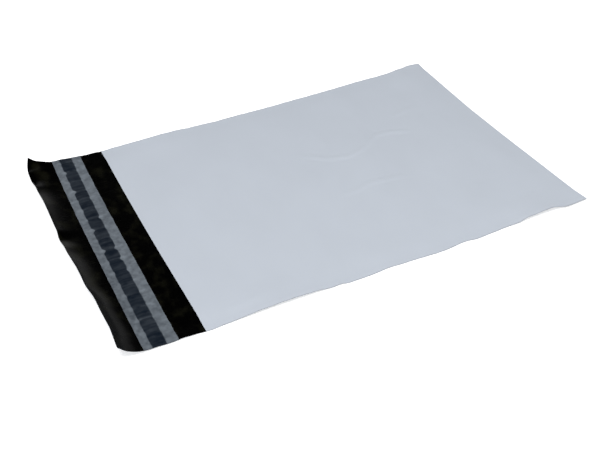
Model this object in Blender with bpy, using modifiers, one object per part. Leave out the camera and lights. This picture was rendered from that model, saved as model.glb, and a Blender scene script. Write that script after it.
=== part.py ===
"""Poly mailer bag: one folded film welded along both sides, with a curled lip, a glue strip and its liner.

The bag lies flat on its back panel, in metres and +Z up. The lip points to -X, the bottom fold to +X,
and the mouth's edge runs across, along Y. The origin is under the middle of the whole bag.
"""

import math

import bmesh
import bpy

# Sizes of the bag
BAG_WIDTH = 0.255
BODY_LENGTH = 0.325
FILM = 0.00006
PANEL_CLEARANCE = 0.00014
PANEL_LOFT = 0.0008
LOFT_EASE = 0.022
MOUTH_LOFT_SHARE = 0.3

# Sizes of the lip, counted outwards from the mouth
MOUTH_TO_LINER = 0.019
LINER_WIDTH = 0.025
LIP_MARGIN = 0.021
CURL_LENGTH = 0.025
LIP_LENGTH = MOUTH_TO_LINER + LINER_WIDTH + LIP_MARGIN

# Sizes of the glue strip and the liner over it
LINER_FILM = 0.00005
GLUE_WIDTH = 0.0106
GLUE_THICKNESS = 0.00008
GLUE_OFF_CENTRE = 0.001
GLUE_PITCH = 0.0145
GLUE_FIRST_JOINT = 0.0045
GLUE_NOTCH_REACH = 0.0035
LAYER_CLEARANCE = 0.0001

# The glue lies in dabs, one after another, and its edges draw back a little where two dabs meet: by how
# much at each joint, from the one by the middle towards the far side, and then on from the near side
GLUE_OUTER_NOTCHES = (
    0.0003,
    0.0020,
    0.0005,
    0.0005,
    0.0004,
    0.0024,
    0.0004,
    0.0016,
    0.0003,
    0.0003,
    0.0004,
    0.0003,
    0.0006,
    0.0004,
    0.0006,
    0.0005,
    0.0020,
)
GLUE_INNER_NOTCHES = (
    0.0004,
    0.0003,
    0.0011,
    0.0003,
    0.0005,
    0.0003,
    0.0002,
    0.0004,
    0.0003,
    0.0003,
    0.0003,
    0.0002,
    0.0003,
    0.0003,
    0.0008,
    0.0014,
    0.0015,
)

# Slope of the lip's outer edge, in degrees, at places given as shares of the width from the middle
LIP_EDGE_SLOPES = (
    (-0.50, 58),
    (-0.42, 65),
    (-0.30, 61),
    (-0.20, 45),
    (-0.13, 45),
    (0.00, 31),
    (0.06, 20),
    (0.10, 31),
    (0.24, 34),
    (0.36, 25),
    (0.43, 5),
    (0.46, 10),
    (0.50, 56),
)

# Where the film lifts off what it lies on: place along, place across, reach along, reach across, height
NEAR_SIDE = -BAG_WIDTH / 2
FAR_SIDE = BAG_WIDTH / 2
BAG_LIFTS = (
    (0.18 * BODY_LENGTH, NEAR_SIDE, 0.052, 0.034, 0.0024),
    (0.87 * BODY_LENGTH, NEAR_SIDE, 0.034, 0.030, 0.0030),
    (1.00 * BODY_LENGTH, NEAR_SIDE, 0.040, 0.070, 0.0012),
    (0.15 * BODY_LENGTH, FAR_SIDE, 0.060, 0.038, 0.0016),
    (0.81 * BODY_LENGTH, FAR_SIDE, 0.070, 0.038, 0.0016),
    (0.96 * BODY_LENGTH, FAR_SIDE, 0.042, 0.085, 0.0028),
    (-0.70 * LIP_LENGTH, FAR_SIDE, 0.060, 0.045, 0.0026),
    (-0.75 * LIP_LENGTH, NEAR_SIDE, 0.042, 0.040, 0.0014),
)
MOUTH_LIFTS = (
    (0.0, NEAR_SIDE + LOFT_EASE, 0.060, 0.075, 0.0011),
    (0.0, FAR_SIDE - LOFT_EASE, 0.060, 0.085, 0.0009),
)

# Rows and columns of the grids
COLUMNS = 36
BODY_ROWS = 34
FOLD_ROWS = 4
LIP_FLAT_ROWS = 5
LIP_CURL_ROWS = 10
LINER_ROWS = 8
GLUE_ROWS = 3
COLUMNS_PER_DAB = 5

# Colours, as red, green and blue from 0 to 255
GREY_FILM = (195, 202, 210)
BLACK_FILM = (12, 12, 12)
LINER_TINT = (150, 160, 172)
GLUE_TINT = (36, 44, 52)


def clear_scene():
    for obj in list(bpy.data.objects):
        bpy.data.objects.remove(obj, do_unlink=True)


def linear(channel):
    """A colour channel from 0 to 255, as the shader's light value."""
    share = channel / 255
    return share / 12.92 if share <= 0.04045 else ((share + 0.055) / 1.055) ** 2.4


def make_material(name, colour, roughness, alpha=1.0):
    material = bpy.data.materials.new(name)
    material.use_nodes = True
    shader = material.node_tree.nodes["Principled BSDF"]
    shader.inputs["Base Color"].default_value = (*map(linear, colour), 1.0)
    shader.inputs["Roughness"].default_value = roughness
    shader.inputs["Metallic"].default_value = 0.0
    shader.inputs["Alpha"].default_value = alpha
    return material


def spaced(start, end, steps):
    """Evenly spaced places from start to end, both included."""
    return [start + (end - start) * step / steps for step in range(steps + 1)]


def ease(share):
    """Rises smoothly from 0 to 1 as the share does, and stays level outside."""
    share = min(max(share, 0.0), 1.0)
    return share * share * (3 - 2 * share)


def bump(share):
    """1 at 0, falling smoothly to 0 at -1 and 1."""
    return 1 - ease(abs(share))


def through(points, place):
    """The value at a place on a smooth curve through (place, value) points."""
    if place <= points[0][0]:
        return points[0][1]
    for (start, low), (end, high) in zip(points, points[1:]):
        if place <= end:
            return low + (high - low) * ease((place - start) / (end - start))
    return points[-1][1]


def lifted(lifts, along, across):
    return sum(
        height * bump((along - at) / reach) * bump((across - side) / side_reach)
        for at, side, reach, side_reach, height in lifts
    )


def on_lip(outwards, across, above=0.0):
    """A point of the lip, at a distance outwards from the mouth and above the middle of the film."""
    slope = math.radians(through(LIP_EDGE_SLOPES, across / BAG_WIDTH))
    flat = min(outwards, LIP_LENGTH - CURL_LENGTH)
    turned = slope * (outwards - flat) / CURL_LENGTH
    radius = CURL_LENGTH / slope - above
    along = -flat - radius * math.sin(turned)
    height = CURL_LENGTH / slope - radius * math.cos(turned)
    return along, across, FILM / 2 + height + lifted(BAG_LIFTS, -outwards, across)


def on_back(along, across):
    return along, across, FILM / 2 + lifted(BAG_LIFTS, along, across)


def panel_distance(along, across):
    """How far the middles of the front and back films lie apart."""
    free = ease((BAG_WIDTH / 2 - abs(across)) / LOFT_EASE)
    from_fold = ease((BODY_LENGTH - along) / LOFT_EASE)
    from_mouth = MOUTH_LOFT_SHARE + (1 - MOUTH_LOFT_SHARE) * ease(along / (3 * LOFT_EASE))
    loft = PANEL_LOFT * from_fold * from_mouth + lifted(MOUTH_LIFTS, along, across)
    return FILM + PANEL_CLEARANCE + loft * free


def on_front(along, across):
    x, y, z = on_back(along, across)
    return x, y, z + panel_distance(along, across)


def on_fold(turned, across):
    """A point of the bottom fold, turned from 0 at the back panel to pi at the front."""
    x, y, z = on_back(BODY_LENGTH, across)
    radius = panel_distance(BODY_LENGTH, across) / 2
    return x + radius * math.sin(turned), y, z + radius * (1 - math.cos(turned))


def film_rows():
    """The film's rows from the lip's edge, along the back, round the fold and back to the mouth."""
    curl_start = LIP_LENGTH - CURL_LENGTH
    curl = [(on_lip, place) for place in spaced(LIP_LENGTH, curl_start, LIP_CURL_ROWS)]
    flat = [(on_lip, place) for place in spaced(curl_start, 0.0, LIP_FLAT_ROWS)]
    back = [(on_back, place) for place in spaced(0.0, BODY_LENGTH, BODY_ROWS)]
    fold = [(on_fold, place) for place in spaced(0.0, math.pi, FOLD_ROWS)]
    front = [(on_front, place) for place in spaced(BODY_LENGTH, 0.0, BODY_ROWS)]
    return curl + flat[1:] + back[1:] + fold[1:] + front[1:]


def laid_grid(rows, columns, place):
    """A flat grid whose points are moved to place(row, column), with its points as a list of rows."""
    mesh = bmesh.new()
    bmesh.ops.create_grid(
        mesh, x_segments=len(rows) - 1, y_segments=len(columns) - 1, size=1
    )
    points = [[None] * len(columns) for _ in rows]
    for vert in mesh.verts:
        row = round((vert.co.x + 1) / 2 * (len(rows) - 1))
        column = round((vert.co.y + 1) / 2 * (len(columns) - 1))
        vert.co = place(rows[row], columns[column])
        points[row][column] = vert
    return mesh, points


def weld_side(mesh, points, column):
    """Closes one side of the bag, from the mouth to the bottom fold."""
    line = [row[column] for row in points]
    mouth = LIP_CURL_ROWS + LIP_FLAT_ROWS
    back = line[mouth : mouth + BODY_ROWS + 1]
    front = line[: -BODY_ROWS - 2 : -1]
    walls = [
        (back[step], back[step + 1], front[step + 1], front[step])
        for step in range(BODY_ROWS)
    ]
    walls.append(line[mouth + BODY_ROWS : mouth + BODY_ROWS + FOLD_ROWS + 1])
    for wall in walls:
        mesh.faces.new(reversed(wall) if column == 0 else wall)


def finish_sheet(mesh, name, thickness, materials, collection, frame):
    """Turns an open sheet into an object with the given thickness about its middle."""
    mesh.normal_update()
    data = bpy.data.meshes.new(name)
    mesh.to_mesh(data)
    mesh.free()
    data.shade_smooth()
    data.set_sharp_from_angle(angle=math.radians(40))
    for material in materials:
        data.materials.append(material)
    obj = bpy.data.objects.new(name, data)
    collection.objects.link(obj)
    obj.parent = frame
    solid = obj.modifiers.new("Thickness", "SOLIDIFY")
    solid.thickness = thickness
    solid.offset = 0.0
    solid.use_even_offset = True
    solid.use_quality_normals = True
    solid.material_offset = len(materials) - 1
    solid.material_offset_rim = len(materials) - 1
    return obj


def make_film_bag(collection, frame):
    columns = spaced(NEAR_SIDE, FAR_SIDE, COLUMNS)
    mesh, points = laid_grid(film_rows(), columns, lambda row, across: row[0](row[1], across))
    weld_side(mesh, points, 0)
    weld_side(mesh, points, COLUMNS)
    materials = [
        make_material("black_film_inside", BLACK_FILM, 0.38),
        make_material("grey_film_outside", GREY_FILM, 0.36),
    ]
    return finish_sheet(mesh, "film_bag", FILM, materials, collection, frame)


def glue_notch(depths, across):
    """How far an edge of the glue draws back at a place across."""
    joint = round((across - GLUE_FIRST_JOINT) / GLUE_PITCH)
    distance = across - GLUE_FIRST_JOINT - joint * GLUE_PITCH
    return depths[joint % len(depths)] * bump(distance / GLUE_NOTCH_REACH)


def glue_columns():
    """Places across for the glue, with one at each meeting of two dabs and one at each side."""
    step = GLUE_PITCH / COLUMNS_PER_DAB
    count = math.ceil(BAG_WIDTH / step)
    places = [GLUE_FIRST_JOINT + step * number for number in range(-count, count + 1)]
    inside = [place for place in places if abs(place) < BAG_WIDTH / 2 - step / 2]
    return [NEAR_SIDE] + inside + [FAR_SIDE]


def make_glue_strip(collection, frame):
    """The hot-melt glue under the liner, a band of dabs that run together."""
    middle = MOUTH_TO_LINER + LINER_WIDTH / 2 + GLUE_OFF_CENTRE
    above = FILM / 2 + LAYER_CLEARANCE + GLUE_THICKNESS / 2

    def place(share, across):
        inner = middle - GLUE_WIDTH / 2 + glue_notch(GLUE_INNER_NOTCHES, across)
        outer = middle + GLUE_WIDTH / 2 - glue_notch(GLUE_OUTER_NOTCHES, across)
        return on_lip(outer + (inner - outer) * share, across, above)

    mesh, _ = laid_grid(spaced(0.0, 1.0, GLUE_ROWS), glue_columns(), place)
    materials = [make_material("dark_glue", GLUE_TINT, 0.45)]
    return finish_sheet(mesh, "adhesive_strip", GLUE_THICKNESS, materials, collection, frame)


def make_release_liner(collection, frame):
    """The thin clear film over the glue, cut flush with both sides of the bag."""
    above = FILM / 2 + 2 * LAYER_CLEARANCE + GLUE_THICKNESS + LINER_FILM / 2
    rows = spaced(MOUTH_TO_LINER + LINER_WIDTH, MOUTH_TO_LINER, LINER_ROWS)
    columns = spaced(NEAR_SIDE, FAR_SIDE, COLUMNS)
    mesh, _ = laid_grid(rows, columns, lambda row, across: on_lip(row, across, above))
    materials = [make_material("clear_liner", LINER_TINT, 0.3, alpha=0.5)]
    return finish_sheet(mesh, "release_liner", LINER_FILM, materials, collection, frame)


def centre_frame(frame, film_bag):
    """Moves the whole bag so that the origin is under the middle of its box."""
    bpy.context.view_layer.update()
    evaluated = film_bag.evaluated_get(bpy.context.evaluated_depsgraph_get())
    places = [corner[0] for corner in evaluated.bound_box]
    frame.location.x = -(min(places) + max(places)) / 2
    bpy.context.view_layer.update()


def main():
    clear_scene()
    collection = bpy.data.collections.new("poly_mailer_bag")
    bpy.context.scene.collection.children.link(collection)
    frame = bpy.data.objects.new("bag_frame", None)
    collection.objects.link(frame)
    film_bag = make_film_bag(collection, frame)
    make_glue_strip(collection, frame)
    make_release_liner(collection, frame)
    centre_frame(frame, film_bag)


main()
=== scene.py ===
"""Looks of a poly mailer bag lying open: two-tone film, glue strip and peel-off liner on a white table.

Sizes are in metres. A place along the bag is counted from the mouth towards the bottom fold, or outwards
from the mouth on the lip. A place across is counted from the middle towards the far side.
"""

import math

import bmesh
import bpy
import numpy as np
from mathutils import Matrix, Vector


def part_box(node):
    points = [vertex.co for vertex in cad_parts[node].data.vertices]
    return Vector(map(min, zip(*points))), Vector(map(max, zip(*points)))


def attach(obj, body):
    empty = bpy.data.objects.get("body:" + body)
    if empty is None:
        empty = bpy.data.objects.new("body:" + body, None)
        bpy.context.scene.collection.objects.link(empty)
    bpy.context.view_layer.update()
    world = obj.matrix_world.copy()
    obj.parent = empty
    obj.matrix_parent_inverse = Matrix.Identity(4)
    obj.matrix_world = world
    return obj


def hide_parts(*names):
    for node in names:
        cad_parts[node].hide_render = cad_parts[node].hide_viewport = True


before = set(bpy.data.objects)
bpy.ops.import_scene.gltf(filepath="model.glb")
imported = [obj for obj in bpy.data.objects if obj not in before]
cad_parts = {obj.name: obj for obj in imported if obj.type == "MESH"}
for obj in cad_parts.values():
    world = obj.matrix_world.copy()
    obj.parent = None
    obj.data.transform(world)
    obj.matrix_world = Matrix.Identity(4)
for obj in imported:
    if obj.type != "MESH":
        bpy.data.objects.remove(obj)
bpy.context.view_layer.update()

MILLIMETRE = 0.001

# The bag's film
FILM = 0.00006
PANEL_CLEARANCE = 0.00014
PANEL_LOFT = 0.0008
LOFT_EASE = 0.022
MOUTH_LOFT_SHARE = 0.3
MOUTH_LOFT_EASE = 3 * LOFT_EASE
# Width of the painted shade line along the bag's sides
EDGE_SHADE_WIDTH = 0.0008

# The lip
MOUTH_TO_LINER = 0.019
LINER_WIDTH = 0.025
LIP_MARGIN = 0.021
LIP_LENGTH = MOUTH_TO_LINER + LINER_WIDTH + LIP_MARGIN
CURL_LENGTH = 0.025
CURL_START = LIP_LENGTH - CURL_LENGTH

# Places read from the frame
FILM_LOW, FILM_HIGH = (Vector(corner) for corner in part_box("film_bag"))
LINER_HIGH = Vector(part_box("release_liner")[1])
NEAR_SIDE = FILM_LOW.y + FILM / 2
FAR_SIDE = FILM_HIGH.y - FILM / 2
BAG_WIDTH = FAR_SIDE - NEAR_SIDE
MOUTH_X = LINER_HIGH.x + MOUTH_TO_LINER
FOLD_RADIUS = (FILM + PANEL_CLEARANCE) / 2
BODY_LENGTH = FILM_HIGH.x - FILM / 2 - FOLD_RADIUS - MOUTH_X

# Slope of the lip's outer edge, in degrees, at places given as shares of the width from the middle
LIP_EDGE_SLOPES = (
    (-0.50, 58),
    (-0.42, 65),
    (-0.30, 61),
    (-0.20, 45),
    (-0.13, 45),
    (0.00, 31),
    (0.06, 20),
    (0.10, 31),
    (0.24, 34),
    (0.36, 25),
    (0.43, 5),
    (0.46, 10),
    (0.50, 56),
)

# Where the film lifts: place along, place across, reach along, reach across, height
BAG_LIFTS = (
    (0.18 * BODY_LENGTH, NEAR_SIDE, 0.052, 0.034, 0.0024),
    (0.87 * BODY_LENGTH, NEAR_SIDE, 0.034, 0.030, 0.0030),
    (1.00 * BODY_LENGTH, NEAR_SIDE, 0.040, 0.070, 0.0012),
    (0.15 * BODY_LENGTH, FAR_SIDE, 0.060, 0.038, 0.0016),
    (0.81 * BODY_LENGTH, FAR_SIDE, 0.070, 0.038, 0.0016),
    (0.96 * BODY_LENGTH, FAR_SIDE, 0.042, 0.085, 0.0028),
    (-0.70 * LIP_LENGTH, FAR_SIDE, 0.060, 0.045, 0.0026),
    (-0.75 * LIP_LENGTH, NEAR_SIDE, 0.042, 0.040, 0.0014),
)
MOUTH_LIFTS = (
    (0.0, NEAR_SIDE + LOFT_EASE, 0.060, 0.075, 0.0011),
    (0.0, FAR_SIDE - LOFT_EASE, 0.060, 0.085, 0.0009),
)

# Waves of the two sides: place along and height, in millimetres. Below zero the film lies on the table
# and runs towards the near side instead.
NEAR_SIDE_WAVES = (
    (-40, 0.0), (-25, 0.0), (-15, 1.0), (5, -0.4), (15, 0.0), (40, 0.2), (50, 0.0), (75, 0.4),
    (85, 0.6), (98, -0.2), (105, 0.2), (112, -0.9), (130, -0.8), (145, 0.1), (160, -0.5),
    (190, -1.5), (212, -0.1), (222, -1.2), (235, -0.6), (250, 0.0), (262, -0.4), (270, 0.5),
    (277, 0.0), (293, 1.2), (306, -1.0), (325, -0.2),
)
FAR_SIDE_WAVES = (
    (-65, 0.0), (-50, 0.9), (-40, 0.0), (-20, -0.7), (-4, -0.2), (2, -0.8), (8, -0.3), (42, -1.0),
    (55, -0.5), (72, -0.3), (84, -0.8), (93, -0.5), (110, -1.0), (126, -0.7), (160, -1.0),
    (190, -0.4), (206, -0.5), (237, -0.9), (270, -0.7), (290, -1.3), (305, -0.4), (316, 0.8),
    (325, 0.8),
)
WAVE_REACH = 0.012
RUN_PER_DROP = 1.3
RUN_REACH = 0.035

# How far the lip's cut edge rolls over or, below zero, lies back, at places across
EDGE_ROLLS = (
    (NEAR_SIDE, -0.0003),
    (-0.08, -0.0003),
    (-0.06, 0.0003),
    (-0.02, 0.0),
    (0.05, -0.0002),
    (FAR_SIDE, -0.0002),
)
EDGE_ROLL_REACH = 0.004

# At places across, how far the liner and its glue run outwards, the mouth's edge runs in, and the
# bottom fold runs out
LINER_RUNS = (
    (NEAR_SIDE, 0.0003),
    (0.03, 0.0001),
    (0.06, -0.0003),
    (0.10, -0.0009),
    (FAR_SIDE, -0.0014),
)
INNER_LINER_RUN_SHARE = 0.6
MOUTH_RUNS = (
    (NEAR_SIDE, 0.0004),
    (-0.06, 0.0001),
    (0.0, -0.0001),
    (0.05, 0.0001),
    (FAR_SIDE, 0.0007),
)
FOLD_RUNS = (
    (NEAR_SIDE, 0.0014),
    (-0.11, 0.0004),
    (-0.07, 0.0008),
    (-0.01, 0.0001),
    (0.03, 0.0001),
    (0.06, 0.0008),
    (FAR_SIDE, 0.0010),
)

# Fine waves: how high or far they go, and their wave lengths with a seed for their phases
SIDE_CRINKLE_HEIGHT = 0.00014
SIDE_CRINKLE_REACH = 0.008
SIDE_CRINKLES = ((0.0093, 0.0151), 4)
EDGE_CRINKLE_ROLL = 0.0001
EDGE_CRINKLES = ((0.0131, 0.0217, 0.037), 8)
PANEL_WAVE_HEIGHT = 0.00018
PANEL_WAVE_SLANT = 0.35
PANEL_WAVES_ALONG = ((0.071, 0.113), 11)
PANEL_WAVES_ACROSS = ((0.083, 0.127), 12)
LINER_EDGE_RUN = 0.0002
LINER_INNER_WAVES = ((0.0113, 0.0197, 0.034), 26)
LINER_OUTER_WAVES = ((0.0127, 0.0221, 0.041), 27)

# Soft creases of the front panel: height, half width and the points they pass, along and across
PANEL_CREASES = (
    (0.00075, 0.0038, (
        (0.148, 0.040), (0.173, 0.0195), (0.189, 0.0162), (0.204, 0.021),
        (0.226, 0.035), (0.239, 0.0335), (0.262, 0.025),
    )),
    (0.00055, 0.0036, ((0.150, -0.032), (0.171, -0.031), (0.185, -0.027), (0.225, -0.032))),
    (0.00065, 0.0040, ((0.250, 0.056), (0.262, 0.057), (0.284, 0.063))),
    (0.00055, 0.0040, ((0.086, 0.086), (0.108, 0.089))),
    (0.00065, 0.0045, ((0.284, -0.018), (0.306, -0.013))),
    (0.00060, 0.0050, ((0.010, -0.114), (0.030, -0.116), (0.054, -0.112))),
    (-0.00045, 0.0050, ((0.256, -0.068), (0.277, -0.063))),
)
CREASE_TAPER = 0.018

# The glue strip: dabs one after another, whose edges draw back where two of them meet
GLUE_WIDTH = 0.0106
GLUE_THICKNESS = 0.00008
GLUE_OFF_CENTRE = 0.001
GLUE_PITCH = 0.0145
GLUE_FIRST_JOINT = 0.0045
GLUE_NOTCH_REACH = 0.0035
GLUE_OUTER_NOTCHES = np.array(
    (0.3, 2.0, 0.5, 0.5, 0.4, 2.4, 0.4, 1.6, 0.3, 0.3, 0.4, 0.3, 0.6, 0.4, 0.6, 0.5, 2.0)
) * MILLIMETRE
GLUE_INNER_NOTCHES = np.array(
    (0.4, 0.3, 1.1, 0.3, 0.5, 0.3, 0.2, 0.4, 0.3, 0.3, 0.3, 0.2, 0.3, 0.3, 0.8, 1.4, 1.5)
) * MILLIMETRE

# The liner over it
LINER_FILM = 0.00005
LAYER_CLEARANCE = 0.0001

# Small bumps of the liner beside the glue's joints: their place from the glue's edge and from the joint,
# half lengths outwards and across, and how strong they are, more so for each millimetre of the notch
PUCKER_OFF_EDGE = 0.0022
PUCKER_OFF_JOINT = 0.0008
PUCKER_HALF_LENGTH = 0.0056
PUCKER_HALF_WIDTH = 0.0030
PUCKER_STRENGTH = 0.30
PUCKER_STRENGTH_PER_NOTCH = 0.22 / MILLIMETRE

# Bowed streaks across the glue, where the liner lifts off it: place in a dab, as a share of the pitch,
# and strength, each varied at random within the limits below
GLUE_STREAKS = ((0.0, 0.09), (0.14, 0.05), (0.36, 0.04), (0.58, 0.05), (0.8, 0.04))
STREAK_SEED = 31
STREAK_SHIFT = 0.06
STREAK_STRENGTHS = (0.3, 1.0)
STREAK_HALF_WIDTHS = (0.0010, 0.0024)
STREAK_BOW = 0.0011
STREAK_OVERRUN = 0.2

# Random patches: how many cells they repeat after, and the size and seed of each kind
PATCH_CELLS = (40, 300)
DRY_PATCHES = (0.0034, 22)
DRY_SPECKS = (0.0016, 23)
WET_BANDS = (0.0032, 24)
FINE_WET_BANDS = (0.0013, 25)
STREAK_PATCHES = (0.0028, 32)

# How milky the liner is, from 0 where glue wets it to 1 where it stands off, with painted highlights on
# its puckers
DRY_HAZE = 0.60
DRY_HAZE_RISE_ACROSS = 0.06
DRY_HAZE_OUTER_DROP = 0.09
NEAR_HALF_BLEND = 0.4
PATCH_HAZE = 0.11
# The puckers are paler where the liner stands off, and carry a painted highlight
PUCKER_HAZE_AND_HIGHLIGHT = 0.30
WET_HAZE = 0.026
BAND_HAZE = 0.045
FINE_BAND_SHARE = 0.4
BAND_STRETCH = 0.3
WET_EDGE = 0.0006

# How high the liner's surface stands over its puckers, streaks and patches
RELIEF_HEIGHT = 0.00012
STREAK_RELIEF = 2.5
PATCH_RELIEF = 0.35

# Rows and columns of the grids
COLUMN_STEP = 0.0020
SIDE_COLUMNS = (0.0, 0.0004, 0.0010, 0.0018)
BODY_ROWS = 125
FOLD_ROWS = 6
LIP_FLAT_ROWS = 14
LIP_CURL_ROWS = 20
GLUE_ROWS = 9
GLUE_COLUMNS = 511
LINER_ROWS = 55
LINER_COLUMNS = 599

# Colours, as red, green and blue from 0 to 255
GREY_FILM = (197, 204, 214)
BLACK_FILM = (1, 1, 1)
BLACK_FILM_MOTTLE = (16, 16, 10)
LINER_DRY = (130, 138, 146)
LINER_WET = (8, 19, 31)
GLUE_DARK = (30, 37, 45)
GLUE_LIGHT = (44, 51, 60)
GREY_MOTTLE_SHARE = 0.015
# How dark the painted shade line along the bag's sides makes the grey film
PAINTED_EDGE_SHADE = 0.74

# What noise textures mostly lie between, and how deep the bumps made of them are
NOISE_LOW = 0.3
NOISE_HIGH = 0.7
BUMP_DEPTH = 0.0001

# The table, and how white it shows near the bag and far from it
WHITE = (1.0, 1.0, 1.0, 1.0)
TABLE_REACH = 4.0
TABLE_GAP = 0.0001
TABLE_GREY = (0.8, 0.8, 0.8, 1.0)
TABLE_NEAR = 0.4
TABLE_FAR = 2.0
TABLE_NEAR_GLOW = 0.66

# The room, by the sine of the height above the horizon: its light, and the white backdrop's end
ROOM_LEVELS = ((0.04, 0.85), (0.22, 0.04), (0.85, 0.04), (0.95, 0.5))
BACKDROP_TOP = 0.25
CEILING_BOTTOM = 0.33

# The lamp over the bag
SOFTBOX_PLACE = (-0.20, -0.42, 1.60)
SOFTBOX_SIZE = 1.0
SOFTBOX_POWER = 26.8

# The camera: where it looks from the mouth's middle, and how it turns
CAMERA_AZIMUTH = math.radians(-24.708)
CAMERA_ELEVATION = math.radians(37.535)
CAMERA_ROLL = math.radians(-1.959)
CAMERA_DISTANCE = 0.738229
CAMERA_LENS = 56.72
CAMERA_SENSOR = 36.0
CAMERA_CLIP_START = 0.01
CAMERA_LOOKS_ALONG = 0.108942
CAMERA_LOOKS_ACROSS = -0.051026
CAMERA_LOOKS_UP = 0.001


# Curves and waves


def ease(share):
    """A smooth step from 0 to 1."""
    share = np.clip(share, 0.0, 1.0)
    return share * share * (3 - 2 * share)


def bump(share):
    """A smooth bump: 1 at 0, and 0 from 1 on, to both sides."""
    return 1 - ease(np.abs(share))


def through(points, places):
    """Values on a smooth curve through (place, value) points."""
    at = np.array([point[0] for point in points])
    values = np.array([point[1] for point in points], float)
    places = np.clip(places, at[0], at[-1])
    index = np.clip(np.searchsorted(at, places) - 1, 0, len(at) - 2)
    share = (places - at[index]) / (at[index + 1] - at[index])
    return values[index] + (values[index + 1] - values[index]) * ease(share)


def waves(places, lengths, seed):
    """A sum of sine waves of the given lengths, from -1 to 1, with phases from a seed."""
    phases = np.random.default_rng(seed).uniform(0, math.tau, len(lengths))
    total = 0.0
    for length, phase in zip(lengths, phases):
        total = total + np.sin(math.tau * places / length + phase)
    return total / len(lengths)


def patches(outwards, across, size, seed):
    """Smooth random patches of the given size, from -1 to 1."""
    cells = np.random.default_rng(seed).uniform(-1, 1, PATCH_CELLS)
    row, place = outwards / size, (across - NEAR_SIDE) / size
    low_row, low_place = np.floor(row).astype(int), np.floor(place).astype(int)
    row_share, place_share = ease(row - low_row), ease(place - low_place)
    low_row = low_row % (PATCH_CELLS[0] - 1)
    low_place = low_place % (PATCH_CELLS[1] - 1)

    def in_row(rows):
        return cells[rows, low_place] * (1 - place_share) + cells[rows, low_place + 1] * place_share

    return in_row(low_row) * (1 - row_share) + in_row(low_row + 1) * row_share


# Shape of the film


def lifted(lifts, along, across):
    """Height of the film over its broad lifts."""
    total = 0.0
    for at, side, reach, side_reach, height in lifts:
        total = total + height * bump((along - at) / reach) * bump((across - side) / side_reach)
    return total


def side_waves(along, across):
    """Heights of the film's wavy sides, and how far they run across."""
    beside = bump((np.abs(across) - BAG_WIDTH / 2) / SIDE_CRINKLE_REACH)
    lift = SIDE_CRINKLE_HEIGHT * beside * (1 + waves(along, *SIDE_CRINKLES))
    run = 0.0
    for side, points in ((NEAR_SIDE, NEAR_SIDE_WAVES), (FAR_SIDE, FAR_SIDE_WAVES)):
        height = MILLIMETRE * through(points, along / MILLIMETRE)
        lift = lift + np.maximum(height, 0.0) * bump((across - side) / WAVE_REACH)
        run = run + RUN_PER_DROP * np.minimum(height, 0.0) * bump((across - side) / RUN_REACH)
    return lift, run


def lip_points(outwards, across, above=0.0):
    """Points of the lip, at distances outwards from the mouth and above the middle of the film."""
    slope = np.radians(through(LIP_EDGE_SLOPES, across / BAG_WIDTH))
    edge_share = np.maximum(outwards - LIP_LENGTH + EDGE_ROLL_REACH, 0.0) / EDGE_ROLL_REACH
    roll = through(EDGE_ROLLS, across) + EDGE_CRINKLE_ROLL * waves(across, *EDGE_CRINKLES)
    above = above + roll * edge_share**2
    flat = np.minimum(outwards, CURL_START)
    turned = slope * (outwards - flat) / CURL_LENGTH
    radius = CURL_LENGTH / slope - above
    along = -flat - radius * np.sin(turned)
    height = CURL_LENGTH / slope - radius * np.cos(turned)
    lift, run = side_waves(-outwards, across)
    height = height + FILM / 2 + lifted(BAG_LIFTS, -outwards, across) + lift
    return np.stack(np.broadcast_arrays(along, across + run, height), -1)


def back_points(along, across):
    """Points of the back panel, in the middle of its film."""
    lift, run = side_waves(along, across)
    height = FILM / 2 + lifted(BAG_LIFTS, along, across) + lift
    out = through(FOLD_RUNS, across) * ease(1 - (BODY_LENGTH - along) / RUN_REACH)
    return np.stack(np.broadcast_arrays(along + out, across + run, height), -1)


def crease_heights(along, across):
    """Heights of the front panel's soft creases, each a rounded ridge along a broken line."""
    total = np.zeros(np.broadcast(along, across).shape)
    for height, half_width, points in PANEL_CREASES:
        nearest = np.full(total.shape, np.inf)
        passed = np.zeros(total.shape)
        run = 0.0
        for (a0, c0), (a1, c1) in zip(points, points[1:]):
            length = math.hypot(a1 - a0, c1 - c0)
            share = ((along - a0) * (a1 - a0) + (across - c0) * (c1 - c0)) / length**2
            share = np.clip(share, 0.0, 1.0)
            away = np.hypot(along - a0 - share * (a1 - a0), across - c0 - share * (c1 - c0))
            passed = np.where(away < nearest, run + share * length, passed)
            nearest = np.minimum(nearest, away)
            run += length
        taper = ease(passed / CREASE_TAPER) * ease((run - passed) / CREASE_TAPER)
        total = total + height * taper * bump(nearest / half_width)
    return total


def panel_distance(along, across):
    """How far the middles of the front and back films lie apart."""
    from_side = ease((BAG_WIDTH / 2 - np.abs(across)) / LOFT_EASE)
    from_fold = ease((BODY_LENGTH - along) / LOFT_EASE)
    from_mouth = MOUTH_LOFT_SHARE + (1 - MOUTH_LOFT_SHARE) * ease(along / MOUTH_LOFT_EASE)
    loft = PANEL_LOFT * from_fold * from_mouth + lifted(MOUTH_LIFTS, along, across)
    broad = waves(along + PANEL_WAVE_SLANT * across, *PANEL_WAVES_ALONG)
    broad = broad * waves(across, *PANEL_WAVES_ACROSS)
    detail = PANEL_WAVE_HEIGHT * broad + crease_heights(along, across)
    return FILM + PANEL_CLEARANCE + (loft + detail * from_fold * from_mouth) * from_side


def front_points(along, across):
    """Points of the front panel, in the middle of its film."""
    points = back_points(along, across)
    points[..., 0] += through(MOUTH_RUNS, across) * ease(1 - along / RUN_REACH)
    points[..., 2] += panel_distance(along, across)
    return points


def fold_points(turned, across):
    """Points round the bottom fold, by the angle turned from the back panel."""
    points = back_points(np.full_like(turned, BODY_LENGTH), across)
    radius = panel_distance(BODY_LENGTH, across) / 2
    points[..., 0] += radius * np.sin(turned)
    points[..., 2] += radius * (1 - np.cos(turned))
    return points


def column(values):
    return np.asarray(values, float)[:, None]


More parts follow.
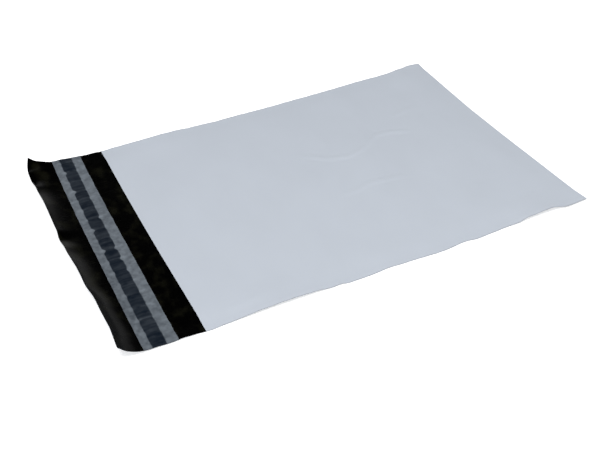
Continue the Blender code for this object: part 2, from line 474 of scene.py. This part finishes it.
def film_grid():
    """Places across, the film's points from the lip's edge to the mouth, and the mouth's row."""
    sides = np.array(SIDE_COLUMNS)
    inner = BAG_WIDTH / 2 - sides[-1] - COLUMN_STEP
    middle = np.linspace(-inner, inner, round(2 * inner / COLUMN_STEP) + 1)
    across = np.concatenate([NEAR_SIDE + sides, middle, (FAR_SIDE - sides)[::-1]])[None, :]
    curl_rows = np.linspace(LIP_LENGTH, CURL_START, LIP_CURL_ROWS, endpoint=False)
    flat_rows = np.linspace(CURL_START, 0.0, LIP_FLAT_ROWS, endpoint=False)
    lip_rows = np.concatenate([curl_rows, flat_rows])
    body_rows = np.linspace(0.0, BODY_LENGTH, BODY_ROWS + 1)
    fold_rows = np.linspace(0.0, math.pi, FOLD_ROWS + 1)[1:-1]
    points = np.concatenate(
        [
            lip_points(column(lip_rows), across),
            back_points(column(body_rows), across),
            fold_points(column(fold_rows), across),
            front_points(column(body_rows[::-1]), across),
        ]
    )
    return across[0], points, len(lip_rows)


# Glue and liner


def glue_joints():
    """Numbers and places across of the joints between the glue's dabs."""
    last = int(BAG_WIDTH / 2 / GLUE_PITCH) + 1
    return [(number, GLUE_FIRST_JOINT + number * GLUE_PITCH) for number in range(-last, last + 1)]


def glue_notch(depths, across):
    """How far an edge of the glue draws back at places across."""
    joint = np.round((across - GLUE_FIRST_JOINT) / GLUE_PITCH).astype(int)
    distance = across - GLUE_FIRST_JOINT - joint * GLUE_PITCH
    return depths[joint % len(depths)] * bump(distance / GLUE_NOTCH_REACH)


def glue_edges(across):
    """Distances from the mouth of the glue's inner and outer edge at places across."""
    middle = MOUTH_TO_LINER + LINER_WIDTH / 2 + GLUE_OFF_CENTRE + through(LINER_RUNS, across)
    inner = middle - GLUE_WIDTH / 2 + glue_notch(GLUE_INNER_NOTCHES, across)
    outer = middle + GLUE_WIDTH / 2 - glue_notch(GLUE_OUTER_NOTCHES, across)
    return inner, outer


def liner_streaks(outwards, across):
    """Strength of the bowed streaks across the glue."""
    inner, outer = glue_edges(across)
    share = (outwards - inner) / (outer - inner)
    share = np.clip(share, -STREAK_OVERRUN, 1 + STREAK_OVERRUN)
    bowed = across - STREAK_BOW * (1 - (2 * share - 1) ** 2)
    patchy = 1 + patches(outwards, across, *STREAK_PATCHES)
    rng = np.random.default_rng(STREAK_SEED)
    total = 0.0
    for _, joint in glue_joints():
        for place, strongest in GLUE_STREAKS:
            centre = joint + (place + rng.uniform(-STREAK_SHIFT, STREAK_SHIFT)) * GLUE_PITCH
            strength = strongest * rng.uniform(*STREAK_STRENGTHS)
            half_width = rng.uniform(*STREAK_HALF_WIDTHS)
            total = total + strength * patchy * bump((bowed - centre) / half_width)
    return total


def liner_puckers(outwards, across):
    """Strength of the small bumps beside the glue's joints, larger where the glue draws back more."""
    total = 0.0
    for number, joint in glue_joints():
        inner, outer = glue_edges(np.full(1, joint))
        sides = ((inner, GLUE_INNER_NOTCHES, -1), (outer, GLUE_OUTER_NOTCHES, 1))
        for edge, depths, outward in sides:
            away = (outwards - edge - outward * PUCKER_OFF_EDGE) / PUCKER_HALF_LENGTH
            beside = (across - joint - PUCKER_OFF_JOINT) / PUCKER_HALF_WIDTH
            strength = PUCKER_STRENGTH + PUCKER_STRENGTH_PER_NOTCH * depths[number % len(depths)]
            total = total + strength * bump(np.hypot(away, beside))
    return total


def liner_haze_and_highlight(outwards, across):
    """How milky the liner is, with painted highlights on its puckers: near 1 it is palest, and near 0
    the glue wets it.
    """
    inner, outer = glue_edges(across)
    outer_part = ease((outwards - inner) / GLUE_WIDTH)
    near_half = ease(0.5 - across / (NEAR_HALF_BLEND * BAG_WIDTH))
    mottle = patches(outwards, across, *DRY_PATCHES) + patches(outwards, across, *DRY_SPECKS)
    dry = DRY_HAZE + DRY_HAZE_RISE_ACROSS * across / BAG_WIDTH
    dry = dry - DRY_HAZE_OUTER_DROP * outer_part * near_half
    # The puckers make the liner milkier and carry a painted highlight
    dry = dry + PATCH_HAZE * mottle + PUCKER_HAZE_AND_HIGHLIGHT * liner_puckers(outwards, across)
    bands = patches(BAND_STRETCH * outwards, across, *WET_BANDS)
    bands = bands + FINE_BAND_SHARE * patches(BAND_STRETCH * outwards, across, *FINE_WET_BANDS)
    damp = WET_HAZE + BAND_HAZE * bands + liner_streaks(outwards, across)
    wet = ease((outwards - inner) / WET_EDGE + 0.5) * ease((outer - outwards) / WET_EDGE + 0.5)
    return dry + (damp - dry) * wet


def liner_relief(outwards, across):
    """Height of the liner's surface over the plain sheet."""
    relief = liner_puckers(outwards, across) + STREAK_RELIEF * liner_streaks(outwards, across)
    relief = relief + PATCH_RELIEF * (1 + patches(outwards, across, *DRY_PATCHES))
    return RELIEF_HEIGHT * relief


# Meshes


def grid_mesh(points):
    """A bmesh grid through an array of points, with its vertices as rows."""
    rows, columns = points.shape[:2]
    mesh = bmesh.new()
    bmesh.ops.create_grid(mesh, x_segments=rows - 1, y_segments=columns - 1, size=1)
    verts = [[None] * columns for _ in range(rows)]
    for vert in mesh.verts:
        row = round((vert.co.x + 1) / 2 * (rows - 1))
        place = round((vert.co.y + 1) / 2 * (columns - 1))
        vert.co = points[row, place]
        verts[row][place] = vert
    mesh.verts.index_update()
    return mesh, verts


def weld_side(mesh, verts, mouth, place):
    """Closes one side of the bag, from the mouth to the bottom fold, and the fold's end."""
    line = [row[place] for row in verts]
    fold = mouth + BODY_ROWS
    back = line[mouth : fold + 1]
    front = line[: -BODY_ROWS - 2 : -1]
    walls = [
        (back[step], back[step + 1], front[step + 1], front[step]) for step in range(BODY_ROWS)
    ]
    walls.append(line[fold : fold + FOLD_ROWS + 1])
    for wall in walls:
        mesh.faces.new(reversed(wall) if place == 0 else wall)


def vertex_numbers(verts):
    return np.array([[vert.index for vert in row] for row in verts])


def add_values(obj, name, numbers, values):
    """Gives the numbered vertices their values, as an attribute that materials can read."""
    flat = np.zeros(len(obj.data.vertices), np.float32)
    flat[numbers] = values
    obj.data.attributes.new(name, "FLOAT", "POINT").data.foreach_set("value", flat)


def sheet_object(name, mesh, thickness, materials):
    """An object from an open sheet, thickened about its middle, with crisp edges.

    The first material is on the side that the sheet's faces show, and the last on the other side.
    """
    for edge in mesh.edges:
        edge.smooth = not edge.is_boundary
    mesh.normal_update()
    data = bpy.data.meshes.new(name)
    mesh.to_mesh(data)
    mesh.free()
    for polygon in data.polygons:
        polygon.use_smooth = True
    for material in materials:
        data.materials.append(material)
    data.transform(Matrix.Translation((MOUTH_X, 0.0, 0.0)))
    obj = bpy.data.objects.new(name, data)
    bpy.context.scene.collection.objects.link(obj)
    solid = obj.modifiers.new("Thickness", "SOLIDIFY")
    solid.thickness = thickness
    solid.offset = 0.0
    solid.use_even_offset = True
    solid.use_quality_normals = True
    solid.material_offset = len(materials) - 1
    solid.material_offset_rim = len(materials) - 1
    return obj


# Materials


def linear(channel):
    """A colour channel from 0 to 255, as the shader's light value."""
    share = channel / 255
    return share / 12.92 if share <= 0.04045 else ((share + 0.055) / 1.055) ** 2.4


def rgba(colour, share=1.0):
    """A colour for the shader, lighter or darker by a share."""
    return (*(share * linear(channel) for channel in colour), 1.0)


class Nodes:
    """Short calls to build the nodes of a material or of the world.

    A value given to an input is a plain value or another node's output, and spaces in an input's
    name are written as underscores.
    """

    def __init__(self, owner, shader="Principled BSDF"):
        owner.use_nodes = True
        self.owner = owner
        self.tree = owner.node_tree
        self.shader = self.tree.nodes[shader]

    def feed(self, socket, value):
        if isinstance(value, bpy.types.NodeSocket):
            self.tree.links.new(value, socket)
        else:
            socket.default_value = value

    def shade(self, **values):
        """Feeds inputs of the shader."""
        for key, value in values.items():
            self.feed(self.shader.inputs[key.replace("_", " ")], value)

    def add(self, kind, **values):
        """A new node, with values for its inputs and settings."""
        node = self.tree.nodes.new(kind)
        for key, value in values.items():
            socket = node.inputs.get(key.replace("_", " "))
            if socket is None:
                setattr(node, key, value)
            else:
                self.feed(socket, value)
        return node

    def math(self, operation, first, second):
        node = self.add("ShaderNodeMath", operation=operation)
        self.feed(node.inputs[0], first)
        self.feed(node.inputs[1], second)
        return node.outputs[0]

    def noise(self, scale, detail=3.0, stretch=(1.0, 1.0, 1.0)):
        place = self.add("ShaderNodeTexCoord").outputs["Object"]
        mapping = self.add("ShaderNodeMapping", Vector=place, Scale=stretch)
        vector = mapping.outputs["Vector"]
        noise = self.add("ShaderNodeTexNoise", Vector=vector, Scale=scale, Detail=detail)
        return noise.outputs["Fac"]

    def map_range(self, value, from_low, from_high, to_low, to_high):
        node = self.add(
            "ShaderNodeMapRange",
            Value=value,
            From_Min=from_low,
            From_Max=from_high,
            To_Min=to_low,
            To_Max=to_high,
        )
        return node.outputs["Result"]

    def spread(self, noise, low, high):
        """Noise, which stays near a half, as values from low to high."""
        return self.map_range(noise, NOISE_LOW, NOISE_HIGH, low, high)

    def mix(self, share, low, high):
        """A colour between two."""
        node = self.add("ShaderNodeMix", data_type="RGBA", Factor=share)
        first, second = (socket for socket in node.inputs if socket.type == "RGBA")
        self.feed(first, low)
        self.feed(second, high)
        return next(socket for socket in node.outputs if socket.type == "RGBA")

    def attribute(self, name):
        return self.add("ShaderNodeAttribute", attribute_name=name).outputs["Fac"]

    def bump(self, height, strength):
        node = self.add("ShaderNodeBump", Height=height, Strength=strength, Distance=BUMP_DEPTH)
        return node.outputs["Normal"]

    def background_rays(self):
        """1 for the rays that see the white background: the camera's, gloss's and clear film's."""
        path = self.add("ShaderNodeLightPath")
        rays = path.outputs["Is Camera Ray"]
        for kind in ("Is Glossy Ray", "Is Transmission Ray"):
            rays = self.math("MAXIMUM", rays, path.outputs[kind])
        return rays


def grey_film():
    """The outside of the film: faintly mottled and streaked, with a painted shade line along the sides.
    """
    nodes = Nodes(bpy.data.materials.new("grey_film_outside"))
    mottle = nodes.spread(nodes.noise(scale=26.0, detail=4.0, stretch=(1.0, 0.6, 1.0)), 0.0, 1.0)
    darker = rgba(GREY_FILM, 1 - GREY_MOTTLE_SHARE)
    lighter = rgba(GREY_FILM, 1 + GREY_MOTTLE_SHARE)
    film = nodes.mix(mottle, darker, lighter)
    streaks = nodes.noise(scale=900.0, detail=2.0, stretch=(0.12, 1.0, 1.0))
    grain = nodes.noise(scale=420.0, stretch=(0.4, 1.0, 1.0))
    nodes.shade(
        # The painted shade line along the sides darkens the grey film here
        Base_Color=nodes.mix(nodes.attribute("edge_shade"), film, rgba(GREY_FILM, PAINTED_EDGE_SHADE)),
        Roughness=nodes.spread(streaks, 0.46, 0.56),
        Specular_IOR_Level=0.4,
        Normal=nodes.bump(grain, strength=0.12),
    )
    return nodes.owner


def black_film():
    """The inside of the film: black with a few paler patches, and a weak gloss."""
    nodes = Nodes(bpy.data.materials.new("black_film_inside"))
    mottle = nodes.spread(nodes.noise(scale=95.0, detail=4.0, stretch=(1.0, 0.7, 1.0)), -0.9, 1.0)
    streaks = nodes.noise(scale=300.0, stretch=(0.3, 1.0, 1.0))
    grain = nodes.noise(scale=260.0, stretch=(0.5, 1.0, 1.0))
    nodes.shade(
        Base_Color=nodes.mix(mottle, rgba(BLACK_FILM), rgba(BLACK_FILM_MOTTLE)),
        Roughness=nodes.spread(streaks, 0.22, 0.29),
        Specular_IOR_Level=0.033,
        Normal=nodes.bump(grain, strength=0.15),
    )
    return nodes.owner


def liner_film():
    """Clear film over black: as pale as it is milky, with painted highlights on its puckers, and dark
    where the glue wets it.
    """
    nodes = Nodes(bpy.data.materials.new("clear_liner"))
    grain = nodes.noise(scale=1400.0, detail=2.0, stretch=(1.0, 1.6, 1.0))
    nodes.shade(
        Base_Color=nodes.mix(nodes.attribute("haze_and_highlight"), rgba(LINER_WET), rgba(LINER_DRY)),
        Roughness=nodes.spread(nodes.noise(scale=500.0), 0.30, 0.42),
        Specular_IOR_Level=0.2,
        Normal=nodes.bump(grain, strength=0.1),
    )
    return nodes.owner


def glue():
    nodes = Nodes(bpy.data.materials.new("dark_glue"))
    mottle = nodes.spread(nodes.noise(scale=400.0), 0.0, 1.0)
    nodes.shade(Base_Color=nodes.mix(mottle, rgba(GLUE_DARK), rgba(GLUE_LIGHT)), Roughness=0.35)
    return nodes.owner


# Pieces


def make_film_bag():
    across, points, mouth = film_grid()
    mesh, verts = grid_mesh(points)
    numbers = vertex_numbers(verts)
    weld_side(mesh, verts, mouth, 0)
    weld_side(mesh, verts, mouth, len(across) - 1)
    obj = sheet_object("mailer_film", mesh, FILM, [black_film(), grey_film()])
    # A painted shade line along the bag's sides, left off the lip
    from_side = BAG_WIDTH / 2 - np.abs(across)
    edge_shade = np.broadcast_to(bump(from_side / EDGE_SHADE_WIDTH), numbers.shape).copy()
    edge_shade[:mouth] = 0.0
    add_values(obj, "edge_shade", numbers, edge_shade)
    return obj


def make_glue():
    above = FILM / 2 + LAYER_CLEARANCE + GLUE_THICKNESS / 2
    across = np.linspace(NEAR_SIDE, FAR_SIDE, GLUE_COLUMNS)[None, :]
    inner, outer = glue_edges(across)
    rows = outer + (inner - outer) * column(np.linspace(0, 1, GLUE_ROWS))
    mesh, _ = grid_mesh(lip_points(rows, np.broadcast_to(across, rows.shape), above))
    return sheet_object("glue_band", mesh, GLUE_THICKNESS, [glue()])


def make_liner():
    above = FILM / 2 + 2 * LAYER_CLEARANCE + GLUE_THICKNESS + LINER_FILM / 2
    across = np.linspace(NEAR_SIDE, FAR_SIDE, LINER_COLUMNS)[None, :]
    run = through(LINER_RUNS, across)
    inner = MOUTH_TO_LINER + INNER_LINER_RUN_SHARE * run
    inner = inner + LINER_EDGE_RUN * waves(across, *LINER_INNER_WAVES)
    outer = MOUTH_TO_LINER + LINER_WIDTH + run
    outer = outer + LINER_EDGE_RUN * waves(across, *LINER_OUTER_WAVES)
    rows = outer + (inner - outer) * column(np.linspace(0, 1, LINER_ROWS))
    across = np.broadcast_to(across, rows.shape)
    points = lip_points(rows, across, above)
    points[..., 2] += liner_relief(rows, across)
    mesh, verts = grid_mesh(points)
    numbers = vertex_numbers(verts)
    obj = sheet_object("liner_film", mesh, LINER_FILM, [liner_film()])
    add_values(obj, "haze_and_highlight", numbers, liner_haze_and_highlight(rows, across))
    return obj


# Stage, light and camera


def make_floor():
    """A white table that keeps the bag's shadow and shows white around it."""
    mesh = bmesh.new()
    bmesh.ops.create_grid(mesh, x_segments=1, y_segments=1, size=TABLE_REACH)
    data = bpy.data.meshes.new("table")
    mesh.to_mesh(data)
    mesh.free()
    floor = bpy.data.objects.new("table", data)
    floor.location.z = -TABLE_GAP
    bpy.context.scene.collection.objects.link(floor)
    nodes = Nodes(bpy.data.materials.new("white_table"))
    place = nodes.add("ShaderNodeTexCoord").outputs["Object"]
    distance = nodes.add("ShaderNodeVectorMath", operation="LENGTH")
    nodes.feed(distance.inputs[0], place)
    away = distance.outputs["Value"]
    glow = nodes.map_range(away, TABLE_NEAR, TABLE_FAR, TABLE_NEAR_GLOW, 1.0)
    nodes.shade(
        Base_Color=TABLE_GREY,
        Roughness=0.8,
        Specular_IOR_Level=0.1,
        Emission_Color=WHITE,
        Emission_Strength=nodes.math("MULTIPLY", nodes.background_rays(), glow),
    )
    data.materials.append(nodes.owner)


def make_world():
    """A dim grey room that is paler low down, where a white backdrop is seen."""
    world = bpy.data.worlds.new("room")
    bpy.context.scene.world = world
    nodes = Nodes(world, shader="Background")
    place = nodes.add("ShaderNodeTexCoord").outputs["Generated"]
    height = nodes.add("ShaderNodeSeparateXYZ", Vector=place).outputs["Z"]
    room = nodes.add("ShaderNodeValToRGB", Fac=height)
    stops = room.color_ramp.elements
    while len(stops) < len(ROOM_LEVELS):
        stops.new(1.0)
    for stop, (position, level) in zip(stops, ROOM_LEVELS):
        stop.position = position
        stop.color = (level, level, level, 1.0)
    backdrop = nodes.map_range(height, BACKDROP_TOP, CEILING_BOTTOM, 1.0, 0.0)
    seen = nodes.math("MULTIPLY", nodes.background_rays(), backdrop)
    nodes.shade(Color=nodes.mix(seen, room.outputs["Color"], WHITE))


def make_light():
    """A square softbox that points at the origin."""
    data = bpy.data.lights.new("softbox", "AREA")
    data.shape = "SQUARE"
    data.size = SOFTBOX_SIZE
    data.energy = SOFTBOX_POWER
    light = bpy.data.objects.new("softbox", data)
    light.location = SOFTBOX_PLACE
    light.rotation_euler = (-Vector(SOFTBOX_PLACE)).to_track_quat("-Z", "Y").to_euler()
    bpy.context.scene.collection.objects.link(light)


def make_camera():
    back = Vector(
        (
            math.sin(CAMERA_AZIMUTH) * math.cos(CAMERA_ELEVATION),
            -math.cos(CAMERA_AZIMUTH) * math.cos(CAMERA_ELEVATION),
            math.sin(CAMERA_ELEVATION),
        )
    )
    right = (-back).cross(Vector((0, 0, 1))).normalized()
    up = right.cross(-back)
    turned_right = math.cos(CAMERA_ROLL) * right + math.sin(CAMERA_ROLL) * up
    turned_up = math.cos(CAMERA_ROLL) * up - math.sin(CAMERA_ROLL) * right
    looks_at = Vector((MOUTH_X + CAMERA_LOOKS_ALONG, CAMERA_LOOKS_ACROSS, CAMERA_LOOKS_UP))
    data = bpy.data.cameras.new("camera")
    data.lens = CAMERA_LENS
    data.sensor_width = CAMERA_SENSOR
    data.clip_start = CAMERA_CLIP_START
    camera = bpy.data.objects.new("camera", data)
    turn = Matrix((turned_right, turned_up, back)).transposed().to_4x4()
    camera.matrix_world = Matrix.Translation(looks_at + CAMERA_DISTANCE * back) @ turn
    bpy.context.scene.collection.objects.link(camera)
    bpy.context.scene.camera = camera


def main():
    film = make_film_bag()
    band = make_glue()
    liner = make_liner()
    for piece, node, slot in (
        (film, "film_bag", "film"),
        (band, "adhesive_strip", "glue"),
        (liner, "release_liner", "liner"),
    ):
        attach(piece, "root")
        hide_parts(node)
    make_floor()
    make_world()
    make_light()
    make_camera()
    bpy.context.scene.view_settings.view_transform = "Standard"


main()
